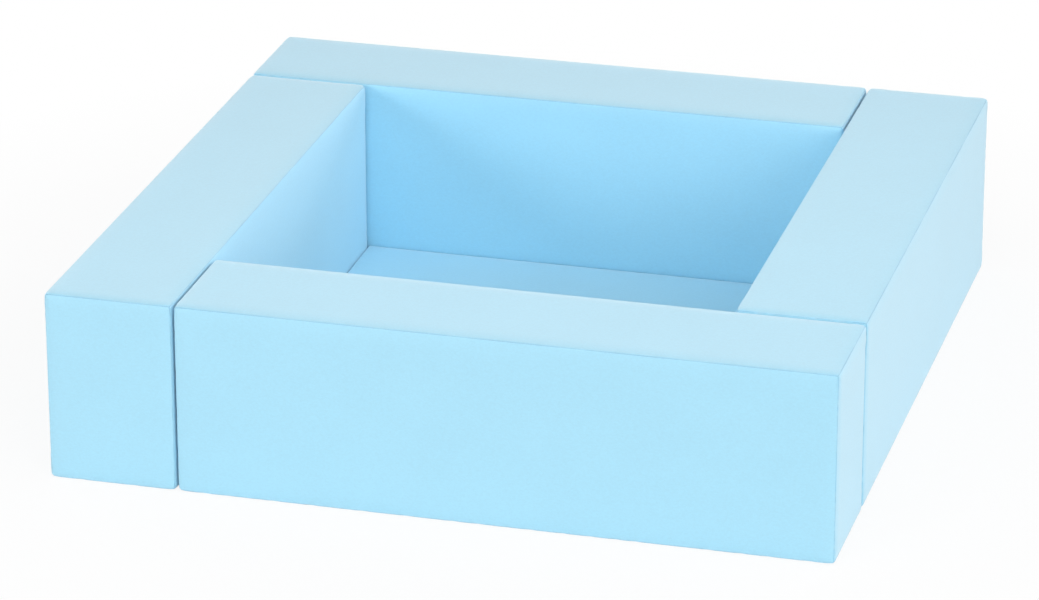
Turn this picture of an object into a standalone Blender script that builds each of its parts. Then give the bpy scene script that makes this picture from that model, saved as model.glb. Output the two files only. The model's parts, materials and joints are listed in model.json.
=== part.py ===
"""Soft-play ball pit: four upholstered foam walls laid pinwheel fashion round a thin floor mat.

Metres, +Z up, front towards -Y. The origin is the middle of the ground that the pit covers.
The four walls are one block, turned by a quarter each time. A block is modelled lying along its own X,
with its underside on z = 0: its butt end, which carries the hook strips, points to -X, and its inner
face, which carries the loop strips near the other end, points to +Y.
"""
import math
from typing import NamedTuple

import bmesh
import bpy
from mathutils import Matrix

# Wall blocks
WALL_LENGTH = 1.000
WALL_THICK = 0.198
WALL_HEIGHT = 0.298
WALL_EDGE_RADIUS = 0.006
WALL_CROWN = 0.0006
WALL_COVER_THICK = 0.0011

# Floor mat
MAT_THICK = 0.012
MAT_EDGE_RADIUS = 0.0035
MAT_CROWN = 0.0010
MAT_COVER_THICK = 0.0010

# Hook-and-loop strips at the joints
STRIP_WIDTH = 0.040
STRIP_LENGTH = 0.180
STRIP_SPACING = 0.040
STRIP_CORNER_RADIUS = 0.003
HOOK_THICK = 0.0016
LOOP_THICK = 0.0015

# Zip of a wall cover, in its recess under the block
ZIP_END_MARGIN = 0.075
ZIP_RECESS_WIDTH = 0.036
ZIP_SLOT_WIDTH = 0.014
ZIP_FLOOR_CLEARANCE = 0.0008
TAPE_WIDTH = 0.014
TAPE_THICK = 0.0008
TAPE_END_OVERLAP = 0.006
TEETH_WIDTH = 0.0024
TEETH_HEIGHT = 0.0018
TEETH_END_CLEARANCE = 0.0015
SLIDER_LENGTH = 0.015
SLIDER_SHOULDER_WIDTH = 0.011
SLIDER_TAIL_WIDTH = 0.0084
SLIDER_CORNER_CUT = 0.0018
SLIDER_PLATE = 0.0010
SLIDER_POST = 0.0006
STAPLE_HEIGHT = 0.0030
STAPLE_WIRE = 0.0010
STAPLE_WIDTH = 0.0018
STAPLE_LENGTH = 0.0052
PULL_LENGTH = 0.024
PULL_THICK = 0.0010
PULL_EYE_WIDTH = 0.0056
PULL_GRIP_WIDTH = 0.0076
PULL_HOLE_LENGTH = 0.0046
PULL_HOLE_WIDTH = 0.0032
PULL_SIDE_CLEARANCE = 0.0008

# The mat's zip is the same pattern in a smaller size
MAT_ZIP_SHARE = 0.6

# Clearances between pieces that touch on the real object, and between the slider and its teeth
SEAT_GAP = 0.0003
RUN_GAP = 0.0003

# Where the slider's plan starts and ends its taper, along its half length
SLIDER_TAPER_SHARES = (-0.2, 0.25)
# Stations across a crowned face, along its half length
CROWN_SHARES = (-0.5, 0.0, 0.5)
# Stations across a wall's thickness and height, along half of each
SIDE_SHARES = (-0.4, 0.4)
# Where the pull's side starts and ends its flare, along the stretch from its hole to its tip
PULL_FLARE_SHARES = (0.1, 0.4)

COVER_BEVEL_STEPS = 3
CORE_BEVEL_STEPS = 2
STRIP_CORNER_STEPS = 2
PULL_TIP_STEPS = 6
WELD_DISTANCE = 0.000001
SMOOTH_ANGLE = math.radians(35)
QUARTER_TURN = math.radians(90)

JOINT_GAP = HOOK_THICK + LOOP_THICK + 3 * SEAT_GAP
PIT_SIDE = WALL_LENGTH + WALL_THICK + JOINT_GAP
OPENING_SIDE = PIT_SIDE - 2 * WALL_THICK
# The mat fills the opening, just clear of the crown of the walls' inner faces as it is lifted out
MAT_SIDE = OPENING_SIDE - 2 * (WALL_CROWN + SEAT_GAP)

# Directions for a flat outline: its own plane is XY, and these lay its thickness along X or Y
THICK_ALONG_X = Matrix(((0, 0, 1, 0), (1, 0, 0, 0), (0, 1, 0, 0), (0, 0, 0, 1)))
THICK_ALONG_Y = Matrix(((1, 0, 0, 0), (0, 0, -1, 0), (0, 1, 0, 0), (0, 0, 0, 1)))

WALL_NAMES = ("front_wall", "right_wall", "back_wall", "left_wall")


class Block(NamedTuple):
    """A foam block's outer size, with how far its faces crown outwards.

    The butt end, at -X, is pressed flat and keeps no crown. seat_width is the stretch of the inner face,
    up to the +X end, that the next block's butt end presses flat.
    """

    length: float
    width: float
    height: float
    radius: float
    top_crown: float
    side_crown: float
    seat_width: float

    def shrunk(self, inset):
        return Block(
            self.length - 2 * inset, self.width - 2 * inset, self.height - 2 * inset,
            self.radius - inset, self.top_crown, self.side_crown, max(self.seat_width - inset, 0))


class Zip:
    """Sizes of one zip and the levels of its layers above the ground, scaled by its share."""

    def __init__(self, share, cover_thick, block_length):
        self.recess_half_width = share * ZIP_RECESS_WIDTH / 2
        self.recess_half_length = block_length / 2 - ZIP_END_MARGIN
        self.slot_half_width = share * ZIP_SLOT_WIDTH / 2
        recess_lip = self.recess_half_width - self.slot_half_width
        self.slot_half_length = self.recess_half_length - recess_lip

        self.tape_width = share * TAPE_WIDTH
        self.tape_half_length = self.slot_half_length + share * TAPE_END_OVERLAP
        self.teeth_width = share * TEETH_WIDTH
        self.teeth_half_length = self.slot_half_length - share * TEETH_END_CLEARANCE
        self.teeth_start = share * SLIDER_POST / 2 + RUN_GAP

        self.staple_low = share * ZIP_FLOOR_CLEARANCE
        self.plate_low = self.staple_low + share * STAPLE_HEIGHT
        self.plate_high = self.plate_low + share * SLIDER_PLATE
        self.teeth_low = self.plate_high + RUN_GAP
        self.tape_low = self.teeth_low + share * TEETH_HEIGHT
        self.tape_high = self.tape_low + share * TAPE_THICK
        self.top_plate_low = self.tape_high + RUN_GAP
        self.top_plate_high = self.top_plate_low + share * SLIDER_PLATE
        self.recess_depth = self.tape_low - SEAT_GAP - cover_thick
        self.core_recess_top = self.top_plate_high + RUN_GAP

        self.slider_half_length = share * SLIDER_LENGTH / 2
        self.shoulder_half = share * SLIDER_SHOULDER_WIDTH / 2
        self.tail_half = share * SLIDER_TAIL_WIDTH / 2
        self.corner_cut = share * SLIDER_CORNER_CUT
        self.post_half = share * SLIDER_POST / 2
        self.plate = share * SLIDER_PLATE
        self.wire = share * STAPLE_WIRE
        self.staple_half_length = share * STAPLE_LENGTH / 2
        self.staple_half_width = share * STAPLE_WIDTH / 2

        self.pull_axis_height = (self.staple_low + self.wire + self.plate_low) / 2
        self.pull_thick = share * PULL_THICK
        self.pull_length = share * PULL_LENGTH
        self.eye_half = share * PULL_EYE_WIDTH / 2
        self.grip_half = share * PULL_GRIP_WIDTH / 2
        self.hole_length = share * PULL_HOLE_LENGTH
        self.hole_half = share * PULL_HOLE_WIDTH / 2

        # Closed, the slider stops where its pull still lies inside the recess, at either end of the run
        self.slider_stop = self.recess_half_length - self.pull_length - share * PULL_SIDE_CLEARANCE


def remove_all_objects():
    for thing in list(bpy.data.objects):
        bpy.data.objects.remove(thing)


def make_material(name, colour, roughness, metallic=0.0):
    material = bpy.data.materials.new(name)
    material.use_nodes = True
    shader = material.node_tree.nodes["Principled BSDF"]
    shader.inputs["Base Color"].default_value = (*colour, 1.0)
    shader.inputs["Roughness"].default_value = roughness
    shader.inputs["Metallic"].default_value = metallic
    material.diffuse_color = (*colour, 1.0)
    return material


def mesh_from(bm, name, material):
    """Closes off a bmesh as a shaded mesh with its faces pointing out."""
    bmesh.ops.recalc_face_normals(bm, faces=bm.faces)
    mesh = bpy.data.meshes.new(name)
    bm.to_mesh(mesh)
    bm.free()
    mesh.materials.append(material)
    mesh.shade_smooth()
    mesh.set_sharp_from_angle(angle=SMOOTH_ANGLE)
    return mesh


def place(name, mesh, collection, parent, location=(0, 0, 0)):
    piece = bpy.data.objects.new(name, mesh)
    collection.objects.link(piece)
    piece.parent = parent
    piece.location = location
    return piece


def box(length, width, height):
    """A box on the ground, centred on the origin."""
    bm = bmesh.new()
    bmesh.ops.create_cube(bm, size=1)
    bmesh.ops.scale(bm, verts=bm.verts, vec=(length, width, height))
    bmesh.ops.translate(bm, verts=bm.verts, vec=(0, 0, height / 2))
    return bm


def cut_across(bm, axis, stations):
    """Adds an edge loop round the mesh at each station along an axis, 0 for X to 2 for Z."""
    for station in stations:
        point = [0, 0, 0]
        point[axis] = station
        normal = [0, 0, 0]
        normal[axis] = 1
        geometry = [*bm.verts, *bm.edges, *bm.faces]
        bmesh.ops.bisect_plane(bm, geom=geometry, plane_co=point, plane_no=normal)


def bulge(position, low, high):
    """1 in the middle of a span, falling as a parabola to 0 at its ends and beyond."""
    along = (2 * position - low - high) / (high - low)
    return max(0.0, 1 - along * along)


def cushion(block, bevel_steps):
    """A block's outer surface: rounded edges, a flat underside and crowned faces."""
    bm = box(block.length, block.width, block.height)
    half_length = block.length / 2
    half_width = block.width / 2
    seat_start = half_length - block.seat_width
    span_middle = (seat_start - half_length) / 2
    span_half = (seat_start + half_length) / 2
    cut_across(bm, 0, [span_middle + share * span_half for share in CROWN_SHARES])
    if block.seat_width:
        cut_across(bm, 0, [seat_start])
    cut_across(bm, 1, [share * half_width for share in SIDE_SHARES])
    cut_across(bm, 2, [(1 + share) * block.height / 2 for share in SIDE_SHARES])

    edges = [edge for edge in bm.edges if edge.calc_face_angle(0) > SMOOTH_ANGLE]
    radius = block.radius
    bmesh.ops.bevel(bm, geom=edges, offset=radius, segments=bevel_steps, profile=0.5, affect="EDGES")

    flat_x = half_length - radius
    flat_y = half_width - radius
    seat_x = min(seat_start, flat_x)
    moves = {}
    for vert in bm.verts:
        x, y, z = vert.co
        over_x = bulge(x, -flat_x, flat_x)
        over_y = bulge(y, -flat_y, flat_y)
        over_z = bulge(z, radius, block.height - radius)
        if math.isclose(z, block.height, abs_tol=WELD_DISTANCE):
            moves[vert] = (0, 0, block.top_crown * over_x * over_y)
        elif math.isclose(y, half_width, abs_tol=WELD_DISTANCE):
            moves[vert] = (0, block.side_crown * bulge(x, -flat_x, seat_x) * over_z, 0)
        elif math.isclose(y, -half_width, abs_tol=WELD_DISTANCE):
            moves[vert] = (0, -block.side_crown * over_x * over_z, 0)
        elif math.isclose(x, half_length, abs_tol=WELD_DISTANCE):
            moves[vert] = (block.side_crown * over_y * over_z, 0, 0)
    for vert, move in moves.items():
        bmesh.ops.translate(bm, verts=[vert], vec=move)
    # A core's crowned faces are split along the same diagonals as its cover's, so the two stay parallel
    crowned = [face for face in bm.faces if all(vert in moves for vert in face.verts)]
    bmesh.ops.triangulate(bm, faces=crowned, quad_method="SHORT_EDGE")
    return bm


def underside(bm):
    """Joins the faces on the ground into one and returns it."""
    ground = [face for face in bm.faces if max(abs(vert.co.z) for vert in face.verts) < WELD_DISTANCE]
    return bmesh.ops.dissolve_faces(bm, faces=ground)["region"][0]


def inner_rectangle(bm, face, half_length, half_width):
    """Insets a rectangular face, centred on the Z axis, to the given half sizes."""
    bmesh.ops.inset_individual(bm, faces=[face], thickness=SEAT_GAP)
    old_half_length = max(vert.co.x for vert in face.verts)
    old_half_width = max(vert.co.y for vert in face.verts)
    factors = (half_length / old_half_length, half_width / old_half_width, 1)
    bmesh.ops.scale(bm, verts=face.verts, vec=factors)
    return face


def sink(bm, face, depth):
    """Pushes a face of the underside up into the block, and returns the recess's roof."""
    raised = bmesh.ops.extrude_discrete_faces(bm, faces=[face])["faces"][0]
    bmesh.ops.translate(bm, verts=raised.verts, vec=(0, 0, depth))
    return raised


def core_mesh(name, block, cover_thick, zip_sizes, material):
    """Foam core: the cushion less its cover all round, grooved underneath to clear the zip."""
    inset = cover_thick + SEAT_GAP
    bm = cushion(block.shrunk(inset), CORE_BEVEL_STEPS)
    half_length = zip_sizes.recess_half_length + inset
    face = inner_rectangle(bm, underside(bm), half_length, zip_sizes.recess_half_width + inset)
    sink(bm, face, zip_sizes.core_recess_top - inset)
    bmesh.ops.translate(bm, verts=bm.verts, vec=(0, 0, inset))
    return mesh_from(bm, name, material)


def cover_mesh(name, block, zip_sizes, material):
    """Leatherette cover as an open surface: the cushion, with the zip's slot in the roof of its recess."""
    bm = cushion(block, COVER_BEVEL_STEPS)
    face = inner_rectangle(bm, underside(bm), zip_sizes.recess_half_length, zip_sizes.recess_half_width)
    roof = sink(bm, face, zip_sizes.recess_depth)
    slot = inner_rectangle(bm, roof, zip_sizes.slot_half_length, zip_sizes.slot_half_width)
    bmesh.ops.delete(bm, geom=[slot], context="FACES")
    return mesh_from(bm, name, material)


def thicken(piece, thickness):
    """Gives an open surface its thickness, inwards."""
    wall = piece.modifiers.new("leatherette", "SOLIDIFY")
    wall.thickness = thickness
    wall.offset = -1
    wall.use_even_offset = True
    wall.use_quality_normals = True


def outline_solid(loops, thickness):
    """A flat outline in XY, its first loop outside and any others holes, as a welded slab."""
    curve = bpy.data.curves.new("outline", "CURVE")
    curve.dimensions = "2D"
    curve.fill_mode = "BOTH"
    curve.extrude = thickness / 2
    for loop in loops:
        spline = curve.splines.new("POLY")
        spline.points.add(len(loop) - 1)
        for point, (across, up) in zip(spline.points, loop):
            point.co = (across, up, 0, 1)
        spline.use_cyclic_u = True
    holder = bpy.data.objects.new("outline", curve)
    bpy.context.scene.collection.objects.link(holder)
    depsgraph = bpy.context.evaluated_depsgraph_get()
    mesh = bpy.data.meshes.new_from_object(holder.evaluated_get(depsgraph))
    bpy.data.objects.remove(holder)
    bpy.data.curves.remove(curve)

    bm = bmesh.new()
    bm.from_mesh(mesh)
    bpy.data.meshes.remove(mesh)
    bmesh.ops.remove_doubles(bm, verts=bm.verts, dist=WELD_DISTANCE)
    bmesh.ops.recalc_face_normals(bm, faces=bm.faces)
    return bm


def combine(first, second, operation):
    """Joins or intersects two closed bmeshes, and returns the result."""
    holders = []
    for bm in (first, second):
        mesh = bpy.data.meshes.new("operand")
        bm.to_mesh(mesh)
        bm.free()
        holder = bpy.data.objects.new("operand", mesh)
        bpy.context.scene.collection.objects.link(holder)
        holders.append(holder)
    boolean = holders[0].modifiers.new("combine", "BOOLEAN")
    boolean.operation = operation
    boolean.object = holders[1]
    depsgraph = bpy.context.evaluated_depsgraph_get()
    mesh = bpy.data.meshes.new_from_object(holders[0].evaluated_get(depsgraph))
    result = bmesh.new()
    result.from_mesh(mesh)
    bpy.data.meshes.remove(mesh)
    for holder in holders:
        operand = holder.data
        bpy.data.objects.remove(holder)
        bpy.data.meshes.remove(operand)
    return result


def arc(centre, radius, start, end, steps):
    """Points round part of a circle, both ends included."""
    points = []
    for step in range(steps + 1):
        angle = start + (end - start) * step / steps
        points.append((centre[0] + radius * math.cos(angle), centre[1] + radius * math.sin(angle)))
    return points


def strip_mesh(name, thickness, material):
    """A sewn strip of hook or loop, standing upright in XZ with its back on y = 0 and its face to -Y."""
    half_width = STRIP_WIDTH / 2 - STRIP_CORNER_RADIUS
    half_length = STRIP_LENGTH / 2 - STRIP_CORNER_RADIUS
    outline = []
    corners = ((1, 1), (-1, 1), (-1, -1), (1, -1))
    for turn, (side, end) in enumerate(corners):
        start = turn * QUARTER_TURN
        centre = (side * half_width, end * half_length)
        outline += arc(centre, STRIP_CORNER_RADIUS, start, start + QUARTER_TURN, STRIP_CORNER_STEPS)
    bm = outline_solid([outline], thickness)
    bm.transform(THICK_ALONG_Y)
    bmesh.ops.translate(bm, verts=bm.verts, vec=(0, -thickness / 2, 0))
    return mesh_from(bm, name, material)


def tape_mesh(name, zip_sizes, material):
    """Half of a zip, on the +Y side: a flat tape with its row of teeth as a rib under its inner edge."""
    width = zip_sizes.tape_width
    bm = box(2 * zip_sizes.tape_half_length, width, zip_sizes.tape_high - zip_sizes.tape_low)
    bmesh.ops.translate(bm, verts=bm.verts, vec=(0, zip_sizes.teeth_start + width / 2, 0))
    teeth_end = zip_sizes.teeth_start + zip_sizes.teeth_width
    cut_across(bm, 1, [teeth_end])
    cut_across(bm, 0, [-zip_sizes.teeth_half_length, zip_sizes.teeth_half_length])
    for face in bm.faces:
        middle = face.calc_center_median()
        lies_under = abs(middle.z) < WELD_DISTANCE
        if lies_under and middle.y < teeth_end and abs(middle.x) < zip_sizes.teeth_half_length:
            teeth_root = face
    sink(bm, teeth_root, zip_sizes.teeth_low - zip_sizes.tape_low)
    bmesh.ops.translate(bm, verts=bm.verts, vec=(0, 0, zip_sizes.tape_low))
    return mesh_from(bm, name, material)


def slider_mesh(name, zip_sizes, material):
    """Zip slider: two plates joined by a post that runs between the rows, flanges, and the pull's staple."""
    sizes = zip_sizes
    flange_start = sizes.teeth_start + sizes.teeth_width + RUN_GAP
    flange_high = sizes.tape_low - RUN_GAP
    half_section = [
        (sizes.shoulder_half, sizes.plate_low),
        (sizes.shoulder_half, flange_high),
        (flange_start, flange_high),
        (flange_start, sizes.plate_high),
        (sizes.post_half, sizes.plate_high),
        (sizes.post_half, sizes.top_plate_low),
        (sizes.shoulder_half, sizes.top_plate_low),
        (sizes.shoulder_half, sizes.top_plate_high),
    ]
    section = half_section + [(-across, up) for across, up in reversed(half_section)]
    body = outline_solid([section], 2 * sizes.slider_half_length)
    body.transform(THICK_ALONG_X)

    front = sizes.slider_half_length
    taper_start, taper_end = (share * front for share in SLIDER_TAPER_SHARES)
    half_plan = [
        (-front, sizes.tail_half),
        (taper_start, sizes.tail_half),
        (taper_end, sizes.shoulder_half),
        (front - sizes.corner_cut, sizes.shoulder_half),
        (front, sizes.shoulder_half - sizes.corner_cut),
    ]
    plan = half_plan + [(along, -across) for along, across in reversed(half_plan)]
    plan_slab = outline_solid([plan], 3 * sizes.top_plate_high)
    body = combine(body, plan_slab, "INTERSECT")

    outer = sizes.staple_half_length
    inner = outer - sizes.wire
    root = sizes.plate_low + sizes.plate / 2
    staple_outline = [
        (-outer, root),
        (-outer, sizes.staple_low),
        (outer, sizes.staple_low),
        (outer, root),
        (inner, root),
        (inner, sizes.staple_low + sizes.wire),
        (-inner, sizes.staple_low + sizes.wire),
        (-inner, root),
    ]
    staple = outline_solid([staple_outline], 2 * sizes.staple_half_width)
    staple.transform(THICK_ALONG_Y)
    return mesh_from(combine(body, staple, "UNION"), name, material)


def pull_mesh(name, zip_sizes, material):
    """Zip pull: a flat tab whose end bar, on the origin's Y axis, turns inside the slider's staple."""
    bar_half = zip_sizes.pull_thick / 2
    hole_end = bar_half + zip_sizes.hole_length
    grip = zip_sizes.grip_half
    flare_span = zip_sizes.pull_length - hole_end
    flare_start, flare_end = (hole_end + share * flare_span for share in PULL_FLARE_SHARES)
    tip_centre = (zip_sizes.pull_length - grip, 0)
    tip = arc(tip_centre, grip, -QUARTER_TURN, QUARTER_TURN, PULL_TIP_STEPS)
    eye = zip_sizes.eye_half
    outer = [(-bar_half, -eye), (flare_start, -eye), (flare_end, -grip), *tip]
    outer += [(flare_end, grip), (flare_start, eye), (-bar_half, eye)]
    half = zip_sizes.hole_half
    hole = [(bar_half, -half), (bar_half, half), (hole_end, half), (hole_end, -half)]
    return mesh_from(outline_solid([outer, hole], zip_sizes.pull_thick), name, material)


def add_zip(prefix, meshes, zip_sizes, collection, parent):
    """Both tapes, the slider at its closed end and the pull lying flat on it."""
    inner_tape = place(prefix + "_zip_tape_inner", meshes["tape"], collection, parent)
    outer_tape = place(prefix + "_zip_tape_outer", meshes["tape"], collection, parent)
    outer_tape.rotation_euler.z = 2 * QUARTER_TURN
    stop = zip_sizes.slider_stop
    place(prefix + "_zip_slider", meshes["slider"], collection, parent, (stop, 0, 0))
    pull_place = (stop, 0, zip_sizes.pull_axis_height)
    place(prefix + "_zip_pull", meshes["pull"], collection, parent, pull_place)
    return inner_tape, outer_tape


def zip_meshes(prefix, zip_sizes, tape_material, metal):
    return {
        "tape": tape_mesh(prefix + "_zip_tape", zip_sizes, tape_material),
        "slider": slider_mesh(prefix + "_zip_slider", zip_sizes, metal),
        "pull": pull_mesh(prefix + "_zip_pull", zip_sizes, metal),
    }


def add_wall(name, turn, meshes, zip_sizes, collection):
    """One wall with its cover, core, zip and strips, a given number of quarter turns from the front."""
    frame = bpy.data.objects.new(name, None)
    collection.objects.link(frame)
    along = (WALL_THICK + JOINT_GAP) / 2
    across = (WALL_THICK - PIT_SIDE) / 2
    rotation = Matrix.Rotation(turn * QUARTER_TURN, 4, "Z")
    frame.matrix_world = rotation @ Matrix.Translation((along, across, 0))

    cover = place(name + "_cover", meshes["cover"], collection, frame)
    thicken(cover, WALL_COVER_THICK)
    place(name + "_foam", meshes["core"], collection, frame)
    add_zip(name, meshes, zip_sizes, collection, frame)

    offset = (STRIP_SPACING + STRIP_WIDTH) / 2
    middle = WALL_HEIGHT / 2
    hook_x = -WALL_LENGTH / 2 - SEAT_GAP
    loop_x = WALL_LENGTH / 2 - WALL_THICK / 2
    loop_y = WALL_THICK / 2 + SEAT_GAP
    for side, direction in (("inner", 1), ("outer", -1)):
        hook_place = (hook_x, direction * offset, middle)
        hook = place(name + "_hook_strip_" + side, meshes["hook"], collection, frame, hook_place)
        hook.rotation_euler.z = -QUARTER_TURN
        loop_place = (loop_x - direction * offset, loop_y, middle)
        loop = place(name + "_loop_strip_" + side, meshes["loop"], collection, frame, loop_place)
        loop.rotation_euler.z = 2 * QUARTER_TURN


def build_pit():
    remove_all_objects()
    collection = bpy.data.collections.new("ball_pit")
    bpy.context.scene.collection.children.link(collection)

    leatherette = make_material("pale_blue_leatherette", (0.45, 0.78, 0.94), 0.5)
    foam = make_material("cream_foam", (0.84, 0.80, 0.66), 0.95)
    tape = make_material("pale_blue_zip_tape", (0.40, 0.70, 0.86), 0.8)
    metal = make_material("nickel_zip", (0.66, 0.65, 0.62), 0.3, 1.0)
    hook = make_material("white_hook_strip", (0.80, 0.82, 0.83), 0.7)
    loop = make_material("white_loop_strip", (0.84, 0.85, 0.86), 0.9)

    wall_block = Block(
        WALL_LENGTH, WALL_THICK, WALL_HEIGHT, WALL_EDGE_RADIUS, WALL_CROWN, WALL_CROWN, WALL_THICK)
    wall_zip = Zip(1, WALL_COVER_THICK, WALL_LENGTH)
    wall_meshes = zip_meshes("wall", wall_zip, tape, metal)
    wall_meshes["cover"] = cover_mesh("wall_cover", wall_block, wall_zip, leatherette)
    wall_meshes["core"] = core_mesh("wall_foam", wall_block, WALL_COVER_THICK, wall_zip, foam)
    wall_meshes["hook"] = strip_mesh("hook_strip", HOOK_THICK, hook)
    wall_meshes["loop"] = strip_mesh("loop_strip", LOOP_THICK, loop)
    for turn, name in enumerate(WALL_NAMES):
        add_wall(name, turn, wall_meshes, wall_zip, collection)

    mat_block = Block(MAT_SIDE, MAT_SIDE, MAT_THICK, MAT_EDGE_RADIUS, MAT_CROWN, 0, 0)
    mat_zip = Zip(MAT_ZIP_SHARE, MAT_COVER_THICK, MAT_SIDE)
    mat_meshes = zip_meshes("mat", mat_zip, tape, metal)
    mat_meshes["cover"] = cover_mesh("mat_cover", mat_block, mat_zip, leatherette)
    mat_meshes["core"] = core_mesh("mat_foam", mat_block, MAT_COVER_THICK, mat_zip, foam)
    frame = bpy.data.objects.new("floor_mat", None)
    collection.objects.link(frame)
    cover = place("floor_mat_cover", mat_meshes["cover"], collection, frame)
    thicken(cover, MAT_COVER_THICK)
    place("floor_mat_foam", mat_meshes["core"], collection, frame)
    add_zip("floor_mat", mat_meshes, mat_zip, collection, frame)
    bpy.context.view_layer.update()


build_pit()
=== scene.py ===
"""Looks of the soft-play ball pit: four pale blue leatherette blocks round a thin mat, in metres.

Everything is modelled once on the front wall and copied round the pit's middle, which is the origin.
"""
import json
import math

import bmesh
import bpy
from mathutils import Matrix, Vector

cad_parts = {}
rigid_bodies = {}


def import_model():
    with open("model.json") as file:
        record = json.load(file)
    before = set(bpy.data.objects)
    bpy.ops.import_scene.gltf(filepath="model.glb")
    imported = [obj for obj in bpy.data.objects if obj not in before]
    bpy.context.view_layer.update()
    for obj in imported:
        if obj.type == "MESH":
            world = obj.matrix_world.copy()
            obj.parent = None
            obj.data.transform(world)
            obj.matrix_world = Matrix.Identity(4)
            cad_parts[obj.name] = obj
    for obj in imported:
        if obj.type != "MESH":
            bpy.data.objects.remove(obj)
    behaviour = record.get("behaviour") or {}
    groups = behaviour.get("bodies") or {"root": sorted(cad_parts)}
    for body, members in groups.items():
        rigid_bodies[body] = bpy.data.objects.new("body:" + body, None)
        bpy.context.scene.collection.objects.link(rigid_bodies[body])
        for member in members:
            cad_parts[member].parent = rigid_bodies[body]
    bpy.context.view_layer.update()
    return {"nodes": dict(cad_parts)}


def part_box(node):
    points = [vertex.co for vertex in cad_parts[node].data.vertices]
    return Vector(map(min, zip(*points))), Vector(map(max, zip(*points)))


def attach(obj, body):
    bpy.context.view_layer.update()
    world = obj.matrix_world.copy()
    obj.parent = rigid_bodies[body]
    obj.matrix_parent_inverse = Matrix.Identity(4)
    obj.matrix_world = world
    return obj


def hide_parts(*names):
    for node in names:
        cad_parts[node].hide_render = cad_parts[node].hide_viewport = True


for leftover in list(bpy.data.objects):
    bpy.data.objects.remove(leftover)
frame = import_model()

# Foam cores. Each wall block and the mat is a slab of firm polyurethane foam, cut square with a hot wire a
# shade smaller than its cover, which squeezes it tight. A groove along the underside clears the zip.

WALLS = ("front_wall", "right_wall", "back_wall", "left_wall")
QUARTER_TURN = math.radians(90)
ON_PLANE = 0.00002

WALL_MIDDLE = Vector((0.101, -0.502, 0))
WALL_FOAM_EDGE = 0.0066
WALL_GROOVE_HALF = (0.4264, 0.0194)
WALL_GROOVE_HIGH = 0.0093
CORNER_REACH = 0.016
CORNER_PULL = 0.0022
FOAM_CREAM = (0.83, 0.78, 0.62, 1)
FOAM_SHADOW = (0.62, 0.55, 0.38, 1)
PORES_PER_METRE = 900
PORE_DEPTH = 0.0004
CLOUDS_PER_METRE = 45
FOAM_SMOOTH_BELOW = math.radians(40)


def deselect_all():
    if bpy.context.object and bpy.context.object.mode != "OBJECT":
        bpy.ops.object.mode_set(mode="OBJECT")
    bpy.ops.object.select_all(action="DESELECT")


def activate(piece):
    deselect_all()
    piece.select_set(True)
    bpy.context.view_layer.objects.active = piece


def settle(piece):
    """Moves a piece's place, turn and scale into its mesh."""
    activate(piece)
    bpy.ops.object.transform_apply(location=True, rotation=True, scale=True)


def start_block(name, low, high):
    """A cube stretched between two corners, left in edit mode."""
    deselect_all()
    low, high = Vector(low), Vector(high)
    bpy.ops.mesh.primitive_cube_add(size=1, location=(low + high) / 2, scale=high - low)
    piece = bpy.context.object
    piece.name = piece.data.name = name
    settle(piece)
    bpy.ops.object.mode_set(mode="EDIT")
    return piece


def pick(piece, kind, test):
    """Selects, in edit mode, only the vertices, edges or faces that pass a test."""
    bpy.ops.mesh.select_mode(type={"verts": "VERT", "edges": "EDGE", "faces": "FACE"}[kind])
    bpy.ops.mesh.select_all(action="DESELECT")
    shape = bmesh.from_edit_mesh(piece.data)
    for part in getattr(shape, kind):
        if test(part):
            part.select_set(True)
    bmesh.update_edit_mesh(piece.data)


def within(face, low, high, half_length, half_width, middle):
    """Whether a face lies between two heights and inside a rectangle round a middle point."""
    centre = face.calc_center_median() - middle
    return low < centre.z < high and abs(centre.x) < half_length and abs(centre.y) < half_width


def duplicate(piece):
    activate(piece)
    bpy.ops.object.duplicate()
    return bpy.context.object


def copy_round(piece, suffix):
    """Copies a front wall's piece to the other walls, each a quarter turn further round the pit."""
    turned = []
    for turn, wall in enumerate(WALLS):
        copy = duplicate(piece) if turn else piece
        copy.name = copy.data.name = wall + suffix
        turned.append((wall, copy))
    for turn, (wall, copy) in enumerate(turned):
        copy.rotation_euler.z = turn * QUARTER_TURN
        settle(copy)
    return turned


def add_node(tree, kind, values=(), **settings):
    """A node with its settings and its inputs' values filled in."""
    node = tree.nodes.new(kind)
    for name, value in settings.items():
        setattr(node, name, value)
    for socket, value in dict(values).items():
        node.inputs[socket].default_value = value
    return node


def start_material(name, **values):
    """A material with one Principled shader, and the tree and shader to build on."""
    material = bpy.data.materials.new(name)
    material.use_nodes = True
    tree = material.node_tree
    shader = tree.nodes["Principled BSDF"]
    for socket, value in values.items():
        shader.inputs[socket.replace("_", " ")].default_value = value
    return material, tree, shader


def object_coordinates(tree, scale=(1, 1, 1)):
    """Object coordinates through a Mapping node."""
    source = add_node(tree, "ShaderNodeTexCoord")
    mapping = add_node(tree, "ShaderNodeMapping", {"Scale": scale})
    tree.links.new(source.outputs["Object"], mapping.inputs["Vector"])
    return mapping.outputs["Vector"]


def blend_colours(tree, low, high, factor):
    """A colour between two, as far as a factor says."""
    mix = add_node(tree, "ShaderNodeMix", data_type="RGBA")
    mix.inputs["A"].default_value = low
    mix.inputs["B"].default_value = high
    tree.links.new(factor, mix.inputs["Factor"])
    return mix.outputs["Result"]


def paint_between(tree, shader, low, high, factor):
    tree.links.new(blend_colours(tree, low, high, factor), shader.inputs["Base Color"])


def raise_bump(tree, shader, height, distance, strength=1.0):
    bump = add_node(tree, "ShaderNodeBump", {"Distance": distance, "Strength": strength})
    tree.links.new(height, bump.inputs["Height"])
    tree.links.new(bump.outputs["Normal"], shader.inputs["Normal"])


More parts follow.
